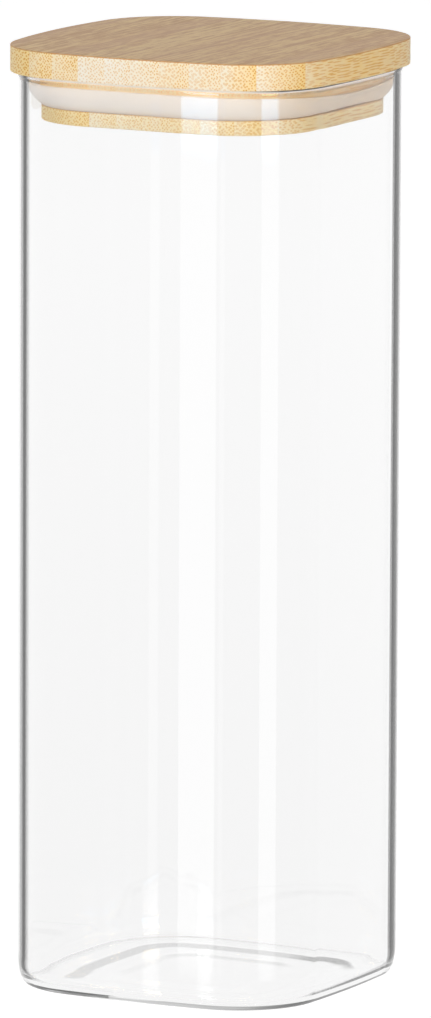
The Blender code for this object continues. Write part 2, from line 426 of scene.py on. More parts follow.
@dataclass(frozen=True)
class ClearGlass:
    """Soda-lime glass, moulded and fire polished: clear, with painted grey edges where it
    turns away.

    The wall guides light to its rim and its foot over more bounces than are traced. That light
    is painted by place, as emission: what the deep bounces find, with painted shade round the foot;
    a pale rim band, a painted highlight, with a dark line of painted shadow round its ends; and a
    grey line under the front at the west, a painted reflection. Each limit is an axis and two
    places in mm.
    """

    ior: float = 1.52
    tint: str = "#FEFEFE"
    west_edge: Stops = (
        (0.2225, "#FEFEFE"), (0.2440, "#A0A0A0"), (0.2480, "#464646"), (0.2645, "#464646"),
        (0.268, "#B0B0B0"), (0.279, "#B0B0B0"), (0.287, "#FEFEFE"))
    east_edge: Stops = (
        (0.2235, "#FEFEFE"), (0.2295, "#A8A8A8"), (0.2485, "#A8A8A8"), (0.2515, "#3C3C3C"),
        (0.283, "#3C3C3C"), (0.288, "#B8B8B8"), (0.296, "#D0D0D0"))
    edge_reach: float = 30.0
    edge_limits: Limits = ((2, 3.0, 5.0),)
    steep: tuple[float, float] = (0.38, 0.45)
    # Painted light and shade, emitted by place for the deep bounces: the lit floor and its shade
    # round the foot.
    guided: str = "#F2F2F2"
    guided_after: float = 4.5
    guided_limits: Limits = ((1, -22.0, -30.0), (0, 8.0, 20.0), (2, 3.0, 6.0))
    floor_light: str = "#D2D2D2"
    foot_reach: float = 80.0
    foot_light: Stops = (
        (0.0, "#686868"), (0.185, "#686868"), (0.195, "#FAFAFA"), (0.28, "#FAFAFA"),
        (0.30, "#C8C8C8"), (0.5, "#BCBCBC"), (0.6, "#787878"), (1.0, "#787878"))
    # Painted highlight and shadow at the rim: a pale band, and a dark line for the plate's shadow
    # round the ends.
    rim_limits: Limits = ((0, -18.0, -26.0), (0, 34.0, 44.0), (0, -34.0, -40.0),
                          (1, 20.0, 26.0), (0, -35.0, -39.0))
    rim_band: tuple[float, float] = (278.1, 278.25)
    rim_line: tuple[float, float] = (278.5, 278.6)
    corner_drop: float = 0.3
    far_rise: float = 0.4
    rim_share: float = 0.8
    rim_middle: str = "#ECE3D8"
    rim_ends: str = "#E6DEDA"
    rim_gap_shadow: str = "#4A4844"
    # Painted reflection: a grey line along the foot, emitted by place.
    foot_reflection_grey: str = "#6C6C6C"
    foot_share: float = 0.72
    foot_limits: Limits = ((2, 0.35, 0.55), (2, 1.7, 1.3), (1, -45.5, -46.5),
                           (0, -30.0, -22.0), (0, -7.7, -8.2))

    def outer(self) -> bpy.types.Material:
        """The outside: polished and almost colourless.

        Returns:
            The material.
        """
        material, add = new_material("soda_lime_glass_outside")
        self.close(add, linear(self.tint))
        return material

    def bore(self) -> bpy.types.Material:
        """The inside: where light is thrown back within the wall, the edge is painted grey.

        Seen steeply from above, the wall is clear again.

        Returns:
            The material.
        """
        material, add = new_material("soda_lime_glass_bore")
        # Painted reflection: a grey tint by facing, west and east, stands in for the dim room that
        # the wall mirrors inside.
        facing = add("LayerWeight", 0.5, out="Facing")
        greys = [fill_ramp(add("ValToRGB", facing, out=None), stops)
                 for stops in (self.west_edge, self.east_edge)]
        axes = add("SeparateXYZ", add("TexCoord", out="Object"), out=None).outputs
        across = add("Math:ADD", axes[0], axes[1])
        east = add("MapRange", across, -self.edge_reach * MM, self.edge_reach * MM)
        above, = fades(add, axes, self.edge_limits)
        upright = add("CombineXYZ", 0.0, 0.0, 1.0)
        level = add("MapRange", add("LayerWeight", 0.5, upright, out="Facing"), *self.steep)
        share = add("Math:MULTIPLY", add("NewGeometry", out="Backfacing"), above)
        share = add("Math:MULTIPLY", share, level)
        self.close(add, add("MixRGB", share, linear(self.tint), add("MixRGB", east, *greys)))
        return material

    def close(self, add: Adder, tint: Any) -> None:
        """Makes the glass, adds the painted guided light, lets lamp light through and ends the tree.

        Args:
            add: adds a node to the material.
            tint: the glass's colour.
        """
        path = add("LightPath", out=None).outputs
        axes = add("SeparateXYZ", add("TexCoord", out="Object"), out=None).outputs
        glass = add("BsdfGlass", tint, 0.0, self.ior)
        deep = add("Math:GREATER_THAN", path["Glossy Depth"], self.guided_after)
        for share, light in ((deep, self.within(add, axes)), self.rim(add, axes),
                             self.foot(add, axes)):
            glass = add("MixShader", share, glass, add("Emission", light))
        through = add("Math:MAXIMUM", path["Is Shadow Ray"], path["Is Diffuse Ray"])
        air = add("BsdfTransparent", linear(WHITE))
        add("OutputMaterial", add("MixShader", through, glass, air), out=None)

    def within(self, add: Adder, axes: Any) -> Any:
        """Painted light for what the deepest bounces within the wall find: the lit floor, with
        painted shade round the foot.

        Args:
            add: adds a node to the material.
            axes: the place's three axes.

        Returns:
            The colour of that light.
        """
        reach = self.foot_reach * MM
        across = add("MapRange", add("Math:ADD", axes[0], axes[1]), -reach, reach)
        round_foot = fill_ramp(add("ValToRGB", across, out=None), self.foot_light)
        front, east, above = fades(add, axes, self.guided_limits)
        seen = add("Math:MAXIMUM", front, east)
        foot = add("MixRGB", seen, linear(self.floor_light), round_foot)
        return add("MixRGB", above, foot, linear(self.guided))

    def rim(self, add: Adder, axes: Any) -> tuple[Any, Any]:
        """Painted light at the rim: a pale band, and a painted shadow on top of it round the ends.

        Args:
            add: adds a node to the material.
            axes: the place's three axes.

        Returns:
            The light's share and its colour.
        """
        # The band is a painted highlight and its dark line a painted shadow, both emitted by place.
        west, east, corner, north, west_end = fades(add, axes, self.rim_limits)
        corner = add("Math:MAXIMUM", corner, east)
        level = add("Math:MULTIPLY_ADD", corner, self.corner_drop * MM, axes[2])
        dark = add("Math:MULTIPLY", corner, *fades(add, [level], ((0, *self.rim_line),)))
        band = add("MixRGB", add("Math:MAXIMUM", west, east), linear(self.rim_middle),
                   linear(self.rim_ends))
        band = add("MixRGB", dark, band, linear(self.rim_gap_shadow))
        far = add("Math:MAXIMUM", add("Math:MULTIPLY", north, east), west_end)
        shown = add("Math:MULTIPLY_ADD", far, -self.far_rise * MM, level)
        lit, = fades(add, [shown], ((0, *self.rim_band),))
        return add("Math:MULTIPLY", lit, self.rim_share), band

    def foot(self, add: Adder, axes: Any) -> tuple[Any, Any]:
        """Painted reflection: a grey line along the foot, for the dim side of the room it mirrors.

        Args:
            add: adds a node to the material.
            axes: the place's three axes.

        Returns:
            The line's share and its colour.
        """
        # The grey line is a painted reflection.
        share = self.foot_share
        for fade in fades(add, axes, self.foot_limits):
            share = add("Math:MULTIPLY", share, fade)
        return share, linear(self.foot_reflection_grey)


@dataclass
class GlassJar:
    """The jar's glass, from the hollow underfoot over the rim down to the floor inside.

    Where a flat or a straight meets a round, one more ring at a short hold keeps it true.
    """

    half: float = 50.0
    corner_radius: float = 28.0
    swell: float = 0.73
    height: float = 278.95
    wall: float = 2.2
    floor: float = 1.4
    heel_width: float = 2.6
    heel_height: float = 8.8
    inner_heel_width: float = 3.2
    inner_heel_height: float = 6.0
    inner_heel_power: float = 2 / 3
    foot_width: float = 10.5
    slope_width: float = 7.0
    hollow: float = 0.32
    pad_half: float = 17.5
    pad_radius: float = 5.0
    pad_edge: float = 7.0
    pad_depth: float = 0.38
    rim_round: float = 0.45
    bead_height: float = 2.4
    bead_proud: float = 0.45
    flat_hold: float = 0.3
    hold: float = 0.4
    bead_hold: float = 0.5
    wall_hold: float = 0.6
    flat_shares: tuple[float, ...] = (0.0, 0.5, 0.97)
    arc_steps: int = 14
    corner_steps: int = 30
    side_steps: int = 24
    crease: float = 80.0

    def section(self) -> list[Ring]:
        """The rings of the wall's section.

        Returns:
            The rings, from the pole underfoot to the pole of the floor.
        """
        outside = Ring(self.half, self.corner_radius, self.swell)
        heel = [outside.inset(self.heel_width * (1 - rise), self.heel_height * (1 - run))
                for run, rise in arc(pi / 2, self.arc_steps)]
        return self.underfoot(outside) + heel + self.rim(outside) + self.inside(outside)

    def underfoot(self, outside: Ring) -> list[Ring]:
        """The rings under the jar: a raised pad, the hollow round it and the flat foot.

        Args:
            outside: the jar's outline.

        Returns:
            The rings, from the pole to the heel.
        """
        foot = self.heel_width + self.foot_width
        pad = Ring(self.pad_half, self.pad_radius)
        around = Ring(self.pad_half + self.pad_edge, self.pad_radius + self.pad_edge)
        inner, outer = outside.inset(foot + self.slope_width, 0), outside.inset(foot, 0)
        rings = [pad.shrunk(share, self.pad_depth) for share in self.flat_shares]
        rings += [pad.toward(around, way, self.pad_depth + (self.hollow - self.pad_depth) * share)
                  for way, share in wave()]
        rings += [around.inset(-self.flat_hold, self.hollow),
                  inner.inset(self.flat_hold, self.hollow)]
        rings += [inner.toward(outer, way, self.hollow - self.hollow * share)
                  for way, share in wave()]
        return rings + [outside.inset(foot - self.hold, 0),
                        outside.inset(self.heel_width + self.hold, 0)]

    def rim(self, outside: Ring) -> list[Ring]:
        """The rings of the wall's outside, its bead and the round rim.

        Args:
            outside: the jar's outline.

        Returns:
            The rings, from above the heel over the rim to the bore.
        """
        spring, bead = self.height - self.rim_round, self.height - self.bead_height
        rings = [outside.inset(0, self.heel_height + self.wall_hold),
                 outside.inset(0, bead - self.hold)]
        rings += [outside.inset(-self.bead_proud * share,
                                bead + (spring - self.bead_hold - bead) * way)
                  for way, share in wave()]
        width = self.wall + self.bead_proud
        rings += [outside.inset(width / 2 * (1 - run) - self.bead_proud,
                                spring + self.rim_round * rise)
                  for run, rise in arc(pi, 2 * self.arc_steps)]
        return rings[:-1] + [replace(rings[-1], lining=1.0)]

    def inside(self, outside: Ring) -> list[Ring]:
        """The rings of the bore and the floor.

        Args:
            outside: the jar's outline.

        Returns:
            The rings, from under the rim to the floor's pole.
        """
        bore, base = outside.inset(self.wall, 0), self.floor + self.inner_heel_height
        rings = [bore.inset(0, self.height - self.rim_round - self.hold, 1),
                 bore.inset(0, base + self.wall_hold, 1)]
        rings += [bore.inset(self.inner_heel_width * (1 - run), self.floor
                             + self.inner_heel_height * (1 - rise ** self.inner_heel_power), 1)
                  for run, rise in arc(pi / 2, self.arc_steps)]
        flat = bore.inset(self.inner_heel_width, self.floor, 1)
        return rings + [flat.shrunk(share, self.floor, 1) for share in self.flat_shares[::-1]]

    def build(self, lofts: LoftTree, finish: ClearGlass) -> None:
        """Makes the glass and puts it in its place.

        Args:
            lofts: the tree that makes the skin.
            finish: the glass.
        """
        mesh = lofts.loft(self.section(), self.corner_steps, self.side_steps,
                          finish.outer(), finish.bore())
        place_piece("blown_square_jar", mesh, Body.JAR, "glass_jar", self.crease)


@dataclass(frozen=True)
class StripPoint:
    """What the bamboo's finish reads at a point, each a socket in its tree.

    The axes are X, Y and Z in mm, the strip's number from the west, and the share of its width
    from its west face. The shifted place is moved by each strip's own drift.
    """

    place: Any
    axes: tuple[Any, ...]
    honey: Any
    drift: Any
    shifted: Any


@dataclass(frozen=True)
class Bamboo:
    """Laminated bamboo, planed and lightly oiled: vascular bundles in a pale, straight grain.

    The strips run along Y, so the bundles are dots and rings on the faces across Y, long
    dashes on the faces across X, and fine streaks on the top. Bundles stand about 1 mm apart, as
    in the real culm. Its fibres are too fine to show, so the streaks are drawn coarser than they
    are. Each pair is a factor and what is added, and each limit is an axis of StripPoint and two
    places on it.
    """

    ground_pale: str = "#F7F0E3"
    ground_honey: str = "#F7D998"
    bundle_pale: str = "#DFAE48"
    bundle_dark: str = "#DC9A28"
    arris: str = "#CC8F45"
    # Painted light: the neck is mixed towards this paler colour and glows with the next one, where
    # the plate's overhang shades it.
    neck: str = "#FFE2A6"
    neck_glow: str = "#786A50"
    plug_cast: str = "#F7FCFF"
    top_light: str = "#F4D29B"
    top_dark: str = "#D5A571"
    top_rose: str = "#DCAF8C"

    # Where the cells of the bundles lie, in mm, and how that changes towards the last strips.
    drift: tuple[float, ...] = (37.0, 91.0, 53.0)
    grain_step: float = 0.03
    grain_run: float = 22.0
    grain_wander: float = 5.0
    across_wander: tuple[float, float] = (-0.045, 0.105)
    row_wander: float = 0.25
    across_cells: float = 8.8
    crowding: tuple[float, float] = (3.0, 2.8)
    row_height: float = 0.88
    row_drift: float = 5.3
    wide_cells: tuple[float, float] = (0.35, 0.65)
    last_finer: tuple[float, float] = (0.14, 1.0)
    end_rows: tuple[float, float] = (0.22, 1.0)
    randomness: float = 0.62

    # What a bundle looks like, by the distance from its middle, and where it is fainter.
    dot: Stops = ((0.0, 1.0), (0.16, 0.95), (0.38, 0.0))
    ring: Stops = ((0.0, 0.1), (0.12, 0.3), (0.22, 1.0), (0.3, 0.9), (0.42, 0.0))
    last_rings: tuple[float, float] = (-0.6, 1.0)
    clouds: float = 0.3
    by_cloud: tuple[float, float] = (0.9, 0.45)
    by_width: tuple[float, float] = (0.45, 0.65)
    by_honey: tuple[float, float] = (0.42, 0.76)
    by_end: tuple[float, float] = (-0.12, 1.0)
    strip_limits: Limits = ((3, 2.1, 2.9), (3, 6.5, 8.5), (3, 10.2, 10.8), (3, 11.2, 11.8),
                            (4, 0.8, 0.4))

    # Where the upright faces are more honey than their strip.
    cloudy_honey: tuple[float, float] = (0.5, -0.25)
    width_honey: tuple[float, float] = (0.75, 0.2)
    plug_honey: float = 0.4
    honey_limits: Limits = ((3, 8.5, 10.5), (2, 271.0, 269.0))

    # The top's streaks: scale, detail, roughness, factor and what is added.
    long_streaks: tuple[float, ...] = (1.0, 0.027, 1.0)
    short_streaks: tuple[float, ...] = (1.0, 0.16, 1.0)
    streaks: tuple[float, ...] = (0.75, 6.0, 0.8, 7.5, -3.25)
    broad: tuple[float, ...] = (0.16, 1.0, 0.5, 1.4, -0.7)
    fine: tuple[float, ...] = (0.9, 3.0, 0.5, 3.0, -1.5)
    top_honey: tuple[float, float] = (-0.3, 0.1)
    rosy_turn: float = 1.9
    rosy: tuple[float, ...] = (0.2, 0.9, 0.0, 0.25)

    # The plate's arris and top, the plug and its arris, the neck's foot and head, and where the
    # neck's painted glow fades out towards the east.
    layer_limits: Limits = ((2, 286.6, 286.8), (2, 286.88, 286.97), (2, 269.1, 269.0),
                            (2, 268.6, 268.9), (2, 272.8, 273.2), (2, 279.0, 278.8),
                            (0, 48.0, 28.0))
    # The share of the neck's painted light, paler where the plate's overhang shades it.
    neck_light_share: float = 0.35
    plug_arris: float = 0.5
    relief: tuple[float, float] = (0.4, 0.6)
    relief_depth: float = 0.05
    relief_share: float = 0.12
    roughness: tuple[float, float] = (0.16, 0.42)
    ior: float = 1.45
    gloss: float = 0.35

    def material(self) -> bpy.types.Material:
        """Builds the finish that all the strips share.

        Returns:
            The material.
        """
        material, add = new_material("planed_laminated_bamboo")
        at = self.read(add)
        bundles, clouds = self.bundles(add, at)
        top, streaks = self.top(add, at)
        colour, neck_glow = self.layers(add, at, self.side(add, at, bundles, clouds), top)
        relief = add("Math:ADD", *(add("Math:MULTIPLY", value, part)
                                   for value, part in zip((bundles, streaks), self.relief)))
        bump = add("Bump", named={"Strength": self.relief_share, "Height": relief,
                                  "Distance": self.relief_depth * MM})
        # The emission is the neck's painted glow.
        shader = add("BsdfPrincipled", named={
            "Base Color": colour, "Normal": bump, "IOR": self.ior, "Specular IOR Level": self.gloss,
            "Roughness": add("Math:MULTIPLY_ADD", streaks, *self.roughness),
            "Emission Color": neck_glow, "Emission Strength": 1.0})
        add("OutputMaterial", shader, out=None)
        return material

    def read(self, add: Adder) -> StripPoint:
        """Reads the place, and what the strip's own attribute says of it.

        Args:
            add: adds a node to the material.

        Returns:
            The point.
        """
        place = add("VectorMath:SCALE", add("TexCoord", out="Object"), named={"Scale": 1 / MM})
        strip = add("Attribute", out="Vector", attribute_name="strip")
        share, honey, number = add("SeparateXYZ", strip, out=None).outputs
        axes = (*add("SeparateXYZ", place, out=None).outputs, number, share)
        drift = add("CombineXYZ", *(add("Math:MULTIPLY", number, step) for step in self.drift))
        return StripPoint(place, axes, honey, drift, add("VectorMath:ADD", place, drift))

    def bundles(self, add: Adder, at: StripPoint) -> tuple[Any, Any]:
        """The vascular bundles: cells that crowd to one side of each strip and run along Y.

        Args:
            add: adds a node to the material.
            at: the point.

        Returns:
            How much of a bundle is at the point, and the cloudiness of the strip there.
        """
        slow = add("VectorMath:MULTIPLY", at.shifted,
                   (self.grain_step, 1 / self.grain_run, self.grain_step))
        wander = add("TexNoise", named={"Vector": slow, "Scale": 1.0, "Detail": 1.0}, out="Color")
        wander = add("VectorMath:SUBTRACT", wander, (0.5, 0.5, 0.5))
        wander = add("VectorMath:SCALE", wander, named={"Scale": self.grain_wander})
        wander = add("SeparateXYZ", wander, out=None).outputs
        wide, ringed, last, end, west = fades(add, at.axes, self.strip_limits, 1.0, Fade.SOFT)
        number, share = at.axes[3:]

        amount = add("Math:MULTIPLY_ADD", end, *self.across_wander)
        inner = add("Math:MULTIPLY_ADD", wander[0], amount, share)
        crowded = add("Math:MULTIPLY_ADD", last, *self.crowding)
        across = add("Math:MULTIPLY_ADD", add("Math:MULTIPLY", inner, inner), crowded,
                     add("Math:MULTIPLY", inner, self.across_cells))
        finer = add("Math:MULTIPLY_ADD", last, *self.last_finer)
        across = add("Math:MULTIPLY", across, finer)
        across = add("Math:MULTIPLY", across, add("Math:MULTIPLY_ADD", wide, *self.wide_cells))
        across = add("Math:MULTIPLY_ADD", number, self.drift[0], across)
        rows = add("Math:MULTIPLY_ADD", wander[2], self.row_wander, at.axes[2])
        rows = add("Math:MULTIPLY", add("Math:DIVIDE", rows, self.row_height), finer)
        rows = add("Math:MULTIPLY", rows, add("Math:MULTIPLY_ADD", end, *self.end_rows))
        rows = add("Math:MULTIPLY_ADD", number, self.row_drift, rows)
        culm = add("VectorRotate", add("CombineXYZ", across, rows), named={"Angle": pi / 4},
                   rotation_type="Z_AXIS")
        away = add("TexVoronoi", out="Distance", voronoi_dimensions="2D",
                   named={"Vector": culm, "Scale": 1.0, "Randomness": self.randomness})
        forms = [fill_ramp(add("ValToRGB", away, out=None), stops)
                 for stops in (self.dot, self.ring)]
        ringed = add("Math:MULTIPLY", ringed, west)
        ringed = add("Math:MULTIPLY", ringed, add("Math:MULTIPLY_ADD", last, *self.last_rings))
        bundles = add("MixRGB", ringed, *forms)
        clouds = add("TexNoise", named={"Vector": at.shifted, "Scale": self.clouds, "Detail": 2.0})
        for value, factors in ((clouds, self.by_cloud), (share, self.by_width),
                               (at.honey, self.by_honey), (end, self.by_end)):
            bundles = add("Math:MULTIPLY", bundles, add("Math:MULTIPLY_ADD", value, *factors))
        return add("Math:MINIMUM", bundles, 1.0), clouds

    def side(self, add: Adder, at: StripPoint, bundles: Any, clouds: Any) -> Any:
        """The colour of the upright faces, paler or more honey by strip, by place and by cloud.

        Args:
            add: adds a node to the material.
            at: the point.
            bundles: how much of a bundle is there.
            clouds: the cloudiness there.

        Returns:
            The colour.
        """
        east, plug = fades(add, at.axes, self.honey_limits, 1.0, Fade.SOFT)
        honey = add("Math:ADD", at.honey, add("Math:MULTIPLY_ADD", clouds, *self.cloudy_honey))
        honey = add("Math:MULTIPLY_ADD", add("Math:SUBTRACT", at.axes[4], 0.5),
                    add("Math:MULTIPLY_ADD", east, *self.width_honey), honey)
        honey = add("Math:MULTIPLY_ADD", plug, self.plug_honey, honey)
        honey = add("Math:MINIMUM", add("Math:MAXIMUM", honey, 0.0), 1.0)
        ground, bundle = (add("MixRGB", honey, linear(pale), linear(deep)) for pale, deep in (
            (self.ground_pale, self.ground_honey), (self.bundle_pale, self.bundle_dark)))
        return add("MixRGB", bundles, ground, bundle)

    def top(self, add: Adder, at: StripPoint) -> tuple[Any, Any]:
        """The colour of the planed top: long fine streaks, with some strips rosier.

        Args:
            add: adds a node to the material.
            at: the point.

        Returns:
            The colour, and the streaks alone.
        """
        long = add("VectorMath:MULTIPLY", at.place, self.long_streaks)
        long = add("VectorMath:ADD", long, at.drift)
        short = add("VectorMath:MULTIPLY", at.shifted, self.short_streaks)
        grains = [(add("TexNoise", named={"Vector": place, "Scale": scale, "Detail": detail,
                                          "Roughness": roughness}), factors)
                  for place, (scale, detail, roughness, *factors) in (
                      (long, self.streaks), (long, self.broad), (short, self.fine))]
        tone = 0.0
        for value, factors in (*grains, (at.honey, self.top_honey)):
            tone = add("Math:ADD", tone, add("Math:MULTIPLY_ADD", value, *factors))
        tone = add("Math:MINIMUM", add("Math:MAXIMUM", tone, 0.0), 1.0)
        colour = add("MixRGB", tone, linear(self.top_dark), linear(self.top_light))
        rosy = add("Math:SINE", add("Math:MULTIPLY", at.axes[3], self.rosy_turn))
        rosy = add("MapRange", rosy, *self.rosy, interpolation_type=Fade.SOFT.value)
        return add("MixRGB", rosy, colour, linear(self.top_rose)), grains[0][0]

    def layers(self, add: Adder, at: StripPoint, side: Any, top: Any) -> tuple[Any, Any]:
        """Sets side and top over each other by height, with arrises, plug and the neck's painted
        light.

        Args:
            add: adds a node to the material.
            at: the point.
            side: the colour of the upright faces.
            top: the colour of the planed top.

        Returns:
            The whole lid's colour, and the neck's painted glow, for the light the rim carries to it.
        """
        arris, face, plug, plug_edge, neck_foot, neck_head, lit = fades(
            add, at.axes, self.layer_limits, 1.0, Fade.SOFT)
        colour = add("MixRGB", arris, side, linear(self.arris))
        colour = add("MixRGB", face, colour, top)
        colour = add("MixRGB", plug, colour, linear(self.plug_cast), blend_type="MULTIPLY")
        # Painted light: the shaded neck is mixed paler and given a faint glow.
        neck = add("Math:MULTIPLY", neck_foot, neck_head)
        colour = add("MixRGB", add("Math:MULTIPLY", neck, self.neck_light_share), colour,
                     linear(self.neck))
        neck_glow = add("MixRGB", add("Math:MULTIPLY", neck, lit), linear(BLACK),
                      linear(self.neck_glow))
        plug_edge = add("Math:MULTIPLY", plug_edge, plug)
        colour = add("MixRGB", add("Math:MULTIPLY", plug_edge, self.plug_arris), colour,
                     linear(self.arris))
        return colour, neck_glow


@dataclass
class BambooLid:
    """The lid: twelve strips glued side by side, milled to a plate, a neck, a groove and a plug."""

    seat: float = 279.0
    plate_half: float = 51.7
    plate_radius: float = 26.9
    plate_swell: float = 1.75
    plate_thickness: float = 8.0
    neck_half: float = 44.7
    neck_radius: float = 25.6
    core_half: float = 41.25
    core_radius: float = 22.15
    plug_half: float = 44.35
    plug_radius: float = 25.25
    neck_height: float = 6.0
    groove_height: float = 4.0
    flange_height: float = 4.5
    arris: float = 0.2
    plug_arris: float = 0.3
    groove_arris: float = 0.15
    arris_steps: int = 5
    glue_line: float = 0.012
    end_width: float = 9.0
    corner_steps: int = 26
    side_steps: int = 10
    crease: float = 40.0
    edges: tuple[float, ...] = (-45.1, -35.7, -26.8, -17.5, -8.3, 0.5, 10.1, 19.8, 29.7,
                                39.6, 49.7)
    honey: tuple[float, ...] = (0.85, 0.95, 0.72, 0.6, 0.14, 0.12, 0.24, 0.4, 0.28, 0.54, 0.52,
                                0.95)

    def section(self) -> list[Ring]:
        """The rings of the lid's section.

        Returns:
            The rings, from the pole under the plug to the pole on top.
        """
        plate = Ring(self.plate_half, self.plate_radius, self.plate_swell)
        neck = Ring(self.neck_half, self.neck_radius)
        core = Ring(self.core_half, self.core_radius)
        plug = Ring(self.plug_half, self.plug_radius)
        groove_top = self.seat - self.neck_height
        groove_floor = groove_top - self.groove_height
        bottom = groove_floor - self.flange_height
        top = self.seat + self.plate_thickness
        rings = [plug.shrunk(share, bottom) for share in (0.0, 0.5)]
        rings += self.rounded(plug, bottom, self.plug_arris, 1)
        rings += self.rounded(plug, groove_floor, self.groove_arris, -1)
        rings += [core.inset(0, groove_floor), core.inset(0, groove_top)]
        rings += self.rounded(neck, groove_top, self.groove_arris, 1)
        rings += [neck.inset(0, self.seat)]
        rings += self.rounded(plate, self.seat, self.arris, 1)
        rings += self.rounded(plate, top, self.arris, -1)
        return rings + [plate.shrunk(share, top) for share in (0.9, 0.5, 0.0)]

    def rounded(self, outline: Ring, height: float, radius: float, way: int) -> list[Ring]:
        """The rings of one rounded arris.

        Args:
            outline: the outline past the arris.
            height: the height of the flat face that the arris meets.
            radius: the arris's radius.
            way: 1 where the arris rises from that face, -1 where it ends in it.

        Returns:
            The rings, from the lowest to the highest.
        """
        rings = [outline.inset(radius * (1 - rise), height + way * radius * (1 - run))
                 for run, rise in arc(pi / 2, self.arris_steps)]
        return rings if way > 0 else rings[::-1]

    def build(self, lofts: LoftTree, finish: Bamboo) -> None:
        """Makes the board once, then cuts each strip out of it.

        Args:
            lofts: the tree that makes the board.
            finish: the bamboo.
        """
        bamboo = finish.material()
        board = lofts.loft(self.section(), self.corner_steps, self.side_steps, bamboo, bamboo)
        far = self.plate_half + self.plate_swell
        limits = (-far, *self.edges, far)
        for number, (west, east) in enumerate(zip(limits, limits[1:])):
            mesh = self.cut(board, west, east, number)
            mesh.materials.append(bamboo)
            self.mark(mesh, west, east, number)
            place_piece(f"lid_strip_{number + 1:02d}", mesh, Body.LID,
                        f"bamboo_strip_{number + 1:02d}", self.crease)
        bpy.data.meshes.remove(board)

    def cut(self, board: bpy.types.Mesh, west: float, east: float, number: int) -> bpy.types.Mesh:
        """Cuts one strip out of the board, with its glued faces closed.

        Args:
            board: the whole board.
            west: the strip's face at lower X.
            east: its face at higher X.
            number: the strip, counted from 0 in the west.

        Returns:
            The strip's mesh.
        """
        work = bmesh.new()
        work.from_mesh(board)
        glued = [(west, 1)] if number else []
        glued += [(east, -1)] if number < len(self.edges) else []
        for place, side in glued:
            plane = (place + side * self.glue_line / 2) * MM
            done = bmesh.ops.bisect_plane(work, geom=work.verts[:] + work.edges[:] + work.faces[:],
                                          plane_co=(plane, 0, 0), plane_no=(side, 0, 0),
                                          clear_inner=True)
            rim = [item for item in done["geom_cut"] if isinstance(item, bmesh.types.BMEdge)]
            bmesh.ops.holes_fill(work, edges=rim, sides=0)
        bmesh.ops.recalc_face_normals(work, faces=work.faces)
        for face in work.faces:
            face.material_index = 0
        mesh = bpy.data.meshes.new("strip")
        work.to_mesh(mesh)
        work.free()
        return mesh

    def mark(self, mesh: bpy.types.Mesh, west: float, east: float, number: int) -> None:
        """Writes on the strip what its finish needs to know.

        Args:
            mesh: the strip's mesh.
            west: the strip's face at lower X.
            east: its face at higher X.
            number: the strip, counted from 0 in the west.
        """
        width = max(east - west, self.end_width)
        start = west if number else east - width
        note = mesh.attributes.new("strip", "FLOAT_VECTOR", "POINT")
        values = []
        for vertex in mesh.vertices:
            values += [(vertex.co.x / MM - start) / width, self.honey[number], number + 1.0]
        note.data.foreach_set("vector", values)


@dataclass(frozen=True)
class Silicone:
    """Food-grade silicone, moulded: milky and slightly pink, with a soft satin skin.

    The mottle and the skin are each a noise's scale and detail, then a factor and what is added.
    """

    tone: str = "#F9F0E9"
    # Painted shade: the seal is darker towards its root.
    shade: str = "#F0E2D6"
    # Painted shade to the east, darker and warmer, where that side is less lit.
    east_warm_shade: str = "#E9D3BE"
    shade_limits: Limits = ((2, 269.05, 271.25),)
    warm_way: tuple[float, ...] = (1.0, 0.2, 0.0)
    warm_limits: tuple[float, ...] = (26.0, 50.0, 0.0, 0.95)
    mottle: tuple[float, ...] = (0.08, 3.0, 0.25, -0.12)
    skin: tuple[float, ...] = (3.0, 2.0, 0.12, 0.42)
    relief_share: float = 0.05
    relief_depth: float = 0.03
    ior: float = 1.41
    softness: float = 0.5
    soft_depth: float = 3.0
    soft_tint: tuple[float, ...] = (1.0, 0.95, 0.9)

    def material(self) -> bpy.types.Material:
        """Builds the seal's finish: painted shade at its root, a warmer painted shade to the east,
        faintly mottled.

        Returns:
            The material.
        """
        material, add = new_material("moulded_silicone")
        place = add("VectorMath:SCALE", add("TexCoord", out="Object"), named={"Scale": 1 / MM})
        axes = add("SeparateXYZ", place, out=None).outputs
        mottle, grain = (
            add("TexNoise", named={"Vector": place, "Scale": scale, "Detail": detail})
            for scale, detail in (self.mottle[:2], self.skin[:2]))
        share = add("Math:MULTIPLY_ADD", mottle, *self.mottle[2:])
        # Painted shade at the root, where the seal meets the plug.
        share = add("Math:ADD", *fades(add, axes, self.shade_limits, 1.0, Fade.SOFT), share,
                    use_clamp=True)
        colour = add("MixRGB", share, linear(self.shade), linear(self.tone))
        # Painted shade to the east, darker and warmer.
        east = add("VectorMath:DOT_PRODUCT", place, self.warm_way, out="Value")
        east = add("MapRange", east, *self.warm_limits)
        colour = add("MixRGB", east, colour, linear(self.east_warm_shade))
        bump = add("Bump", named={"Strength": self.relief_share, "Height": grain,
                                  "Distance": self.relief_depth * MM})
        shader = add("BsdfPrincipled", named={
            "Base Color": colour, "Normal": bump, "IOR": self.ior,
            "Roughness": add("Math:MULTIPLY_ADD", grain, *self.skin[2:]),
            "Subsurface Weight": self.softness, "Subsurface Scale": self.soft_depth * MM,
            "Subsurface Radius": self.soft_tint})
        add("OutputMaterial", shader, out=None)
        return material


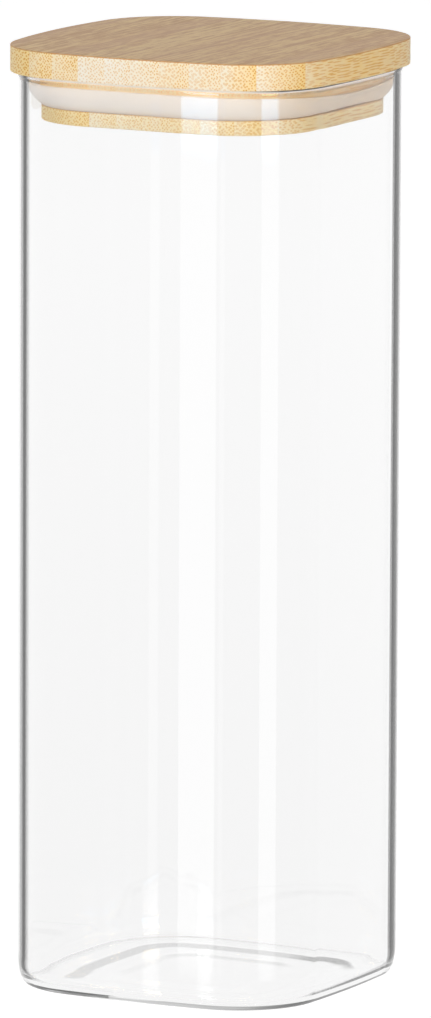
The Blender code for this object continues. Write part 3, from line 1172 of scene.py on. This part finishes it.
@dataclass
class SiliconeSeal:
    """The seal: a root in the lid's groove and a thin lip that flares up against the glass."""

    plug_half: float = 44.35
    plug_radius: float = 25.25
    glass_half: float = 47.5
    glass_radius: float = 25.5
    swell: float = 0.73
    root_inset: float = 2.8
    bottom: float = 269.05
    root_top: float = 272.7
    lip_edge: float = 276.0
    lip_thickness: float = 1.0
    edge_thickness: float = 0.6
    lift: float = 0.4
    dip: float = 2.0
    root_lift: float = 0.5
    dip_power: int = 3
    steps: int = 16
    edge_steps: int = 6
    corner_steps: int = 24
    side_steps: int = 10
    crease: float = 50.0

    def section(self) -> list[Ring]:
        """The rings of the seal's section, a closed loop that ends where it starts.

        Returns:
            The rings.
        """
        plug = Ring(self.plug_half, self.plug_radius)
        glass = Ring(self.glass_half, self.glass_radius, self.swell)
        height = self.lip_edge - self.bottom
        root_share = (self.root_top - self.bottom) / height
        edge_share = 1 - self.edge_thickness / 2 / height

        def lip(share: float, thickness: float) -> Ring:
            """The ring that far up the lip, and that far in from its outer face."""
            outer = plug.toward(glass, 1 - (1 - share) ** 2, 0)
            return outer.inset(thickness, self.bottom + height * share)

        rings = [plug.inset(self.root_inset, self.bottom)]
        rings += [lip(edge_share * step / self.steps, 0) for step in range(self.steps + 1)]
        half = self.edge_thickness / 2
        end = plug.toward(glass, 1 - (1 - edge_share) ** 2, 0)
        rings += [end.inset(half * (1 - run), self.bottom + height * edge_share + half * rise)
                  for run, rise in arc(pi, self.edge_steps)[1:-1]]
        for step in range(self.steps + 1):
            way = step / self.steps
            share = edge_share + (root_share - edge_share) * way
            thickness = self.edge_thickness + (self.lip_thickness - self.edge_thickness) * way
            rings.append(lip(share, thickness))
        rings += [plug.inset(self.root_inset, self.root_top), rings[0]]
        return rings

    def build(self, lofts: LoftTree, finish: Silicone) -> None:
        """Makes the seal and puts it in its place.

        Args:
            lofts: the tree that makes the skin.
            finish: the silicone.
        """
        silicone = finish.material()
        mesh = lofts.loft(self.section(), self.corner_steps, self.side_steps, silicone, silicone)
        self.settle(mesh)
        place_piece("flared_seal", mesh, Body.LID, "silicone_seal",
                    self.crease)

    def settle(self, mesh: bpy.types.Mesh) -> None:
        """Lets the lip dip in the middle of the two faces across X, where the glass presses it.

        Args:
            mesh: the seal's mesh.
        """
        for vertex in mesh.vertices:
            x, y, z = vertex.co
            share = max(z / MM - self.root_top, 0) / (self.lip_edge - self.root_top)
            side = (x * x / (x * x + y * y)) ** self.dip_power
            lip = share * (self.lift - self.dip * side)
            vertex.co.z += (lip + (1 - share) * self.root_lift * side) * MM


@dataclass
class Softbox:
    """A tall soft lamp: a glowing sheet that faces the jar and fades out at its two ends.

    It is the size and the place of the two bright strips that the glass mirrors. The highest
    part, well above the jar, is hot and lights the room; what the glass shows is dimmer.
    """

    name: str
    azimuth: float
    spread: float
    hot: float
    hot_tint: str = WHITE
    distance: float = 2.0
    low: float = -0.40
    high: float = 0.9
    foot_fade: float = 0.03
    head_fade: float = 0.3
    foot_level: float = 2.2
    knee_level: float = 1.5
    shown: float = 4.6
    shown_tint: str = "#B5D6F4"
    middle: float = 2.6
    wall: float = 0.64
    heights: tuple[float, ...] = (-0.001, 0.008, 0.15, 0.2, 0.5, 0.56)

    def brightest(self) -> float:
        """The highest level anywhere on the sheet."""
        return max(self.hot, self.foot_level, self.knee_level)

    def profile(self) -> Stops:
        """How bright the sheet is, from its foot to its head.

        Returns:
            The stops of a ramp: share of the height, and colour as a share of the brightest.
        """
        shown, middle = min(self.shown, self.hot), min(self.middle, self.hot)
        levels = ((self.foot_level, WHITE), (self.knee_level, WHITE), (shown, self.shown_tint),
                  (shown, self.shown_tint), (middle, WHITE), (middle, WHITE),
                  (self.hot, self.hot_tint))
        return tuple(((height - self.low) / (self.high - self.low),
                      tuple(part * level / self.brightest() for part in linear(tint)[:3]) + (1.0,))
                     for height, (level, tint) in zip((self.low, *self.heights), levels))

    def hang(self) -> None:
        """Hangs the lamp where its angles say."""
        turn, half = radians(self.azimuth), self.distance * tan(radians(self.spread / 2))
        across = Vector((cos(turn), sin(turn), 0))
        corners = [sight_line(self.azimuth, 0) * self.distance + across * (half * side)
                   + Vector((0, 0, height)) for side, height in (
                       (-1, self.low), (1, self.low), (1, self.high), (-1, self.high))]
        mesh = bpy.data.meshes.new(self.name)
        mesh.from_pydata(corners, [], [(0, 1, 2, 3)])
        mesh.materials.append(self.sheet())
        holder = bpy.data.objects.new(self.name, mesh)
        holder.visible_camera = False
        holder.visible_shadow = False
        bpy.context.scene.collection.objects.link(holder)

    def sheet(self) -> bpy.types.Material:
        """The glowing sheet, never darker than the room behind it.

        Returns:
            The material.
        """
        material, add = new_material(self.name + "_sheet")
        axes = add("SeparateXYZ", add("TexCoord", out="Object"), out=None).outputs
        rise, fall = fades(add, axes, ((2, self.low, self.low + self.foot_fade),
                                       (2, self.high, self.high - self.head_fade)), 1.0, Fade.SOFT)
        along = add("MapRange", axes[2], self.low, self.high)
        ramp = fill_ramp(add("ValToRGB", along, out=None), self.profile())
        strength = add("Math:MULTIPLY", add("Math:MULTIPLY", rise, fall), self.brightest())
        glow = add("VectorMath:SCALE", ramp, named={"Scale": strength})
        path = add("LightPath", out=None).outputs
        behind = add("Mix", path["Is Transmission Ray"], None, self.wall, 1.0)
        glow = add("VectorMath:MAXIMUM", glow, behind)
        add("OutputMaterial", add("Emission", glow), out=None)
        return material


@dataclass
class Studio:
    """The white room: a pale floor, a plain soft sky, the lamps and the camera.

    The camera's distance, aim and the height it aims at are in mm, as fitted to the photo. A
    range with four numbers turns its first two, low and high, into its last two.
    """

    azimuth: float = 27.292
    elevation: float = 9.151
    roll: float = 0.247
    distance: float = 3733.777
    focal_pixels: float = 12314.0
    frame_height: int = 1018
    sensor: float = 36.0
    clip_end: float = 100.0
    aim_right: float = 1.997
    aim_up: float = 3.786
    aim_height: float = 140.0

    sky: tuple[float, ...] = (0.05, 0.8, 0.75, 0.4)
    dim_way: tuple[float, ...] = (0.766, 0.643, 0.0)
    dim_side: tuple[float, ...] = (0.2, 1.0, 1.0, 0.15)
    mirrored: tuple[float, ...] = (-0.1, 0.7, 0.64, 1.0)

    floor_size: float = 30.0
    floor_gap: float = 0.05
    # Painted shade: the floor seen through the glass glows dimmer near the jar.
    through_glass_shade: tuple[float, ...] = (0.0, 1.6, 0.96, 1.0)
    floor_plain: str = "#E8E8E8"
    floor_thin: str = "#A8A8A8"
    floor_glow: float = 0.84

    fill_azimuth: float = 26.0
    fill_elevation: float = 5.0
    fill_distance: float = 2.2
    fill_width: float = 1.8
    fill_height: float = 0.5
    fill_power: float = 5.6

    deepest: int = 64
    clearest: int = 24

    lamps: tuple[Softbox, ...] = (
        Softbox("softbox_left", azimuth=-12.2, spread=18.4, hot=16.2),
        Softbox("softbox_right", azimuth=62.2, spread=21.6, hot=19.5, hot_tint="#FFE6B6"),
        Softbox("bounce_card_left", azimuth=-24.35, spread=1.1, hot=1.2, foot_level=1.2,
                knee_level=1.2),
        Softbox("bounce_card_middle", azimuth=4.4, spread=5.6, hot=1.1, foot_level=1.1,
                knee_level=1.1))

    def camera(self) -> None:
        """Sets the camera up where the photograph was taken from."""
        back, tilt = sight_line(self.azimuth, self.elevation), radians(self.roll)
        across = (-back).cross(Vector((0, 0, 1))).normalized()
        upward = across.cross(-back)
        right = across * cos(tilt) + upward * sin(tilt)
        up = upward * cos(tilt) - across * sin(tilt)
        lens = bpy.data.cameras.new("photographers_lens")
        lens.sensor_width = self.sensor
        lens.lens = self.focal_pixels * self.sensor / self.frame_height
        lens.clip_end = self.clip_end
        holder = bpy.data.objects.new("photographers_lens", lens)
        aim = Vector((0, 0, self.aim_height)) + right * self.aim_right + up * self.aim_up
        holder.matrix_world = Matrix.Translation((aim + back * self.distance) * MM) @ Matrix(
            (right, up, back)).transposed().to_4x4()
        bpy.context.scene.collection.objects.link(holder)
        bpy.context.scene.camera = holder

    def floor(self) -> None:
        """Lays the pale floor, white to the eye and still shaded under the jar."""
        far, low = self.floor_size, -self.floor_gap * MM
        mesh = bpy.data.meshes.new("pale_floor")
        mesh.from_pydata([(-far, -far, low), (far, -far, low), (far, far, low), (-far, far, low)],
                         [], [(0, 1, 2, 3)])
        material, add = new_material("matt_white_laminate")
        path = add("LightPath", out=None).outputs
        away = add("VectorMath:LENGTH", add("TexCoord", out="Object"), out="Value")
        depth = add("MapRange", away, *self.through_glass_shade)
        plain = add("BsdfDiffuse", linear(self.floor_plain))
        seen = add("AddShader", add("BsdfDiffuse", linear(self.floor_thin)),
                   add("Emission", linear(WHITE), self.floor_glow))
        mixed = add("MixShader", path["Is Camera Ray"], plain, seen)
        # Painted shade: seen through the glass, the floor glows a little dimmer near the jar.
        mixed = add("MixShader", path["Is Transmission Ray"], mixed,
                    add("Emission", linear(WHITE), depth))
        add("OutputMaterial", mixed, out=None)
        mesh.materials.append(material)
        floor = bpy.data.objects.new("pale_floor", mesh)
        floor.visible_glossy = False
        bpy.context.scene.collection.objects.link(floor)

    def room(self) -> None:
        """Makes the room: white where it is looked at, a plain soft light where it shines."""
        world = bpy.data.worlds.new("white_room")
        world.use_nodes = True
        world.node_tree.nodes.clear()
        add = partial(add_node, world.node_tree)
        path = add("LightPath", out=None).outputs
        seen = add("Math:MAXIMUM", path["Is Camera Ray"], path["Is Transmission Ray"])
        way = add("TexCoord", out="Generated")
        sky = add("MapRange", add("SeparateXYZ", way, out="Z"), *self.sky)
        side = add("VectorMath:DOT_PRODUCT", way, self.dim_way, out="Value")
        sky = add("Math:MULTIPLY", sky, add("MapRange", side, *self.dim_side))
        turn = radians(self.azimuth)
        behind = add("VectorMath:DOT_PRODUCT", way, (-sin(turn), cos(turn), 0), out="Value")
        mirrored = add("MapRange", behind, *self.mirrored)
        light = add("Mix", path["Is Glossy Ray"], None, sky, mirrored)
        strength = add("Mix", seen, None, light, 1.0)
        add("OutputWorld", add("Background", linear(WHITE), strength), out=None)
        bpy.context.scene.world = world

    def fill(self) -> None:
        """Hangs the broad fill lamp that stands beside the camera."""
        lamp = bpy.data.lights.new("broad_fill", "AREA")
        lamp.shape = "RECTANGLE"
        lamp.size, lamp.size_y = self.fill_width, self.fill_height
        lamp.energy = self.fill_power
        back = sight_line(self.fill_azimuth, self.fill_elevation)
        holder = bpy.data.objects.new("broad_fill", lamp)
        holder.location = Vector((0, 0, self.aim_height * MM)) + back * self.fill_distance
        holder.rotation_mode = "QUATERNION"
        holder.rotation_quaternion = (-back).to_track_quat("-Z", "Y")
        holder.visible_camera = False
        holder.visible_transmission = False
        bpy.context.scene.collection.objects.link(holder)

    def build(self) -> None:
        """Sets up camera, floor, room and lamps, and how the picture is developed."""
        self.camera()
        self.floor()
        self.room()
        for lamp in self.lamps:
            lamp.hang()
        self.fill()
        scene = bpy.context.scene
        scene.view_settings.view_transform = "Standard"
        for limit in ("max_bounces", "transmission_bounces", "glossy_bounces"):
            setattr(scene.cycles, limit, self.deepest)
        scene.cycles.transparent_max_bounces = self.clearest
        log.info("studio: camera at azimuth %.2f, elevation %.2f", self.azimuth, self.elevation)


def main() -> None:
    """Builds the studio, then the jar from the glass up."""
    logging.basicConfig(level=logging.INFO, format="%(name)s: %(message)s")
    Studio().build()
    lofts = LoftTree()
    GlassJar().build(lofts, ClearGlass())
    BambooLid().build(lofts, Bamboo())
    SiliconeSeal().build(lofts, Silicone())


if __name__ == "__main__":
    main()
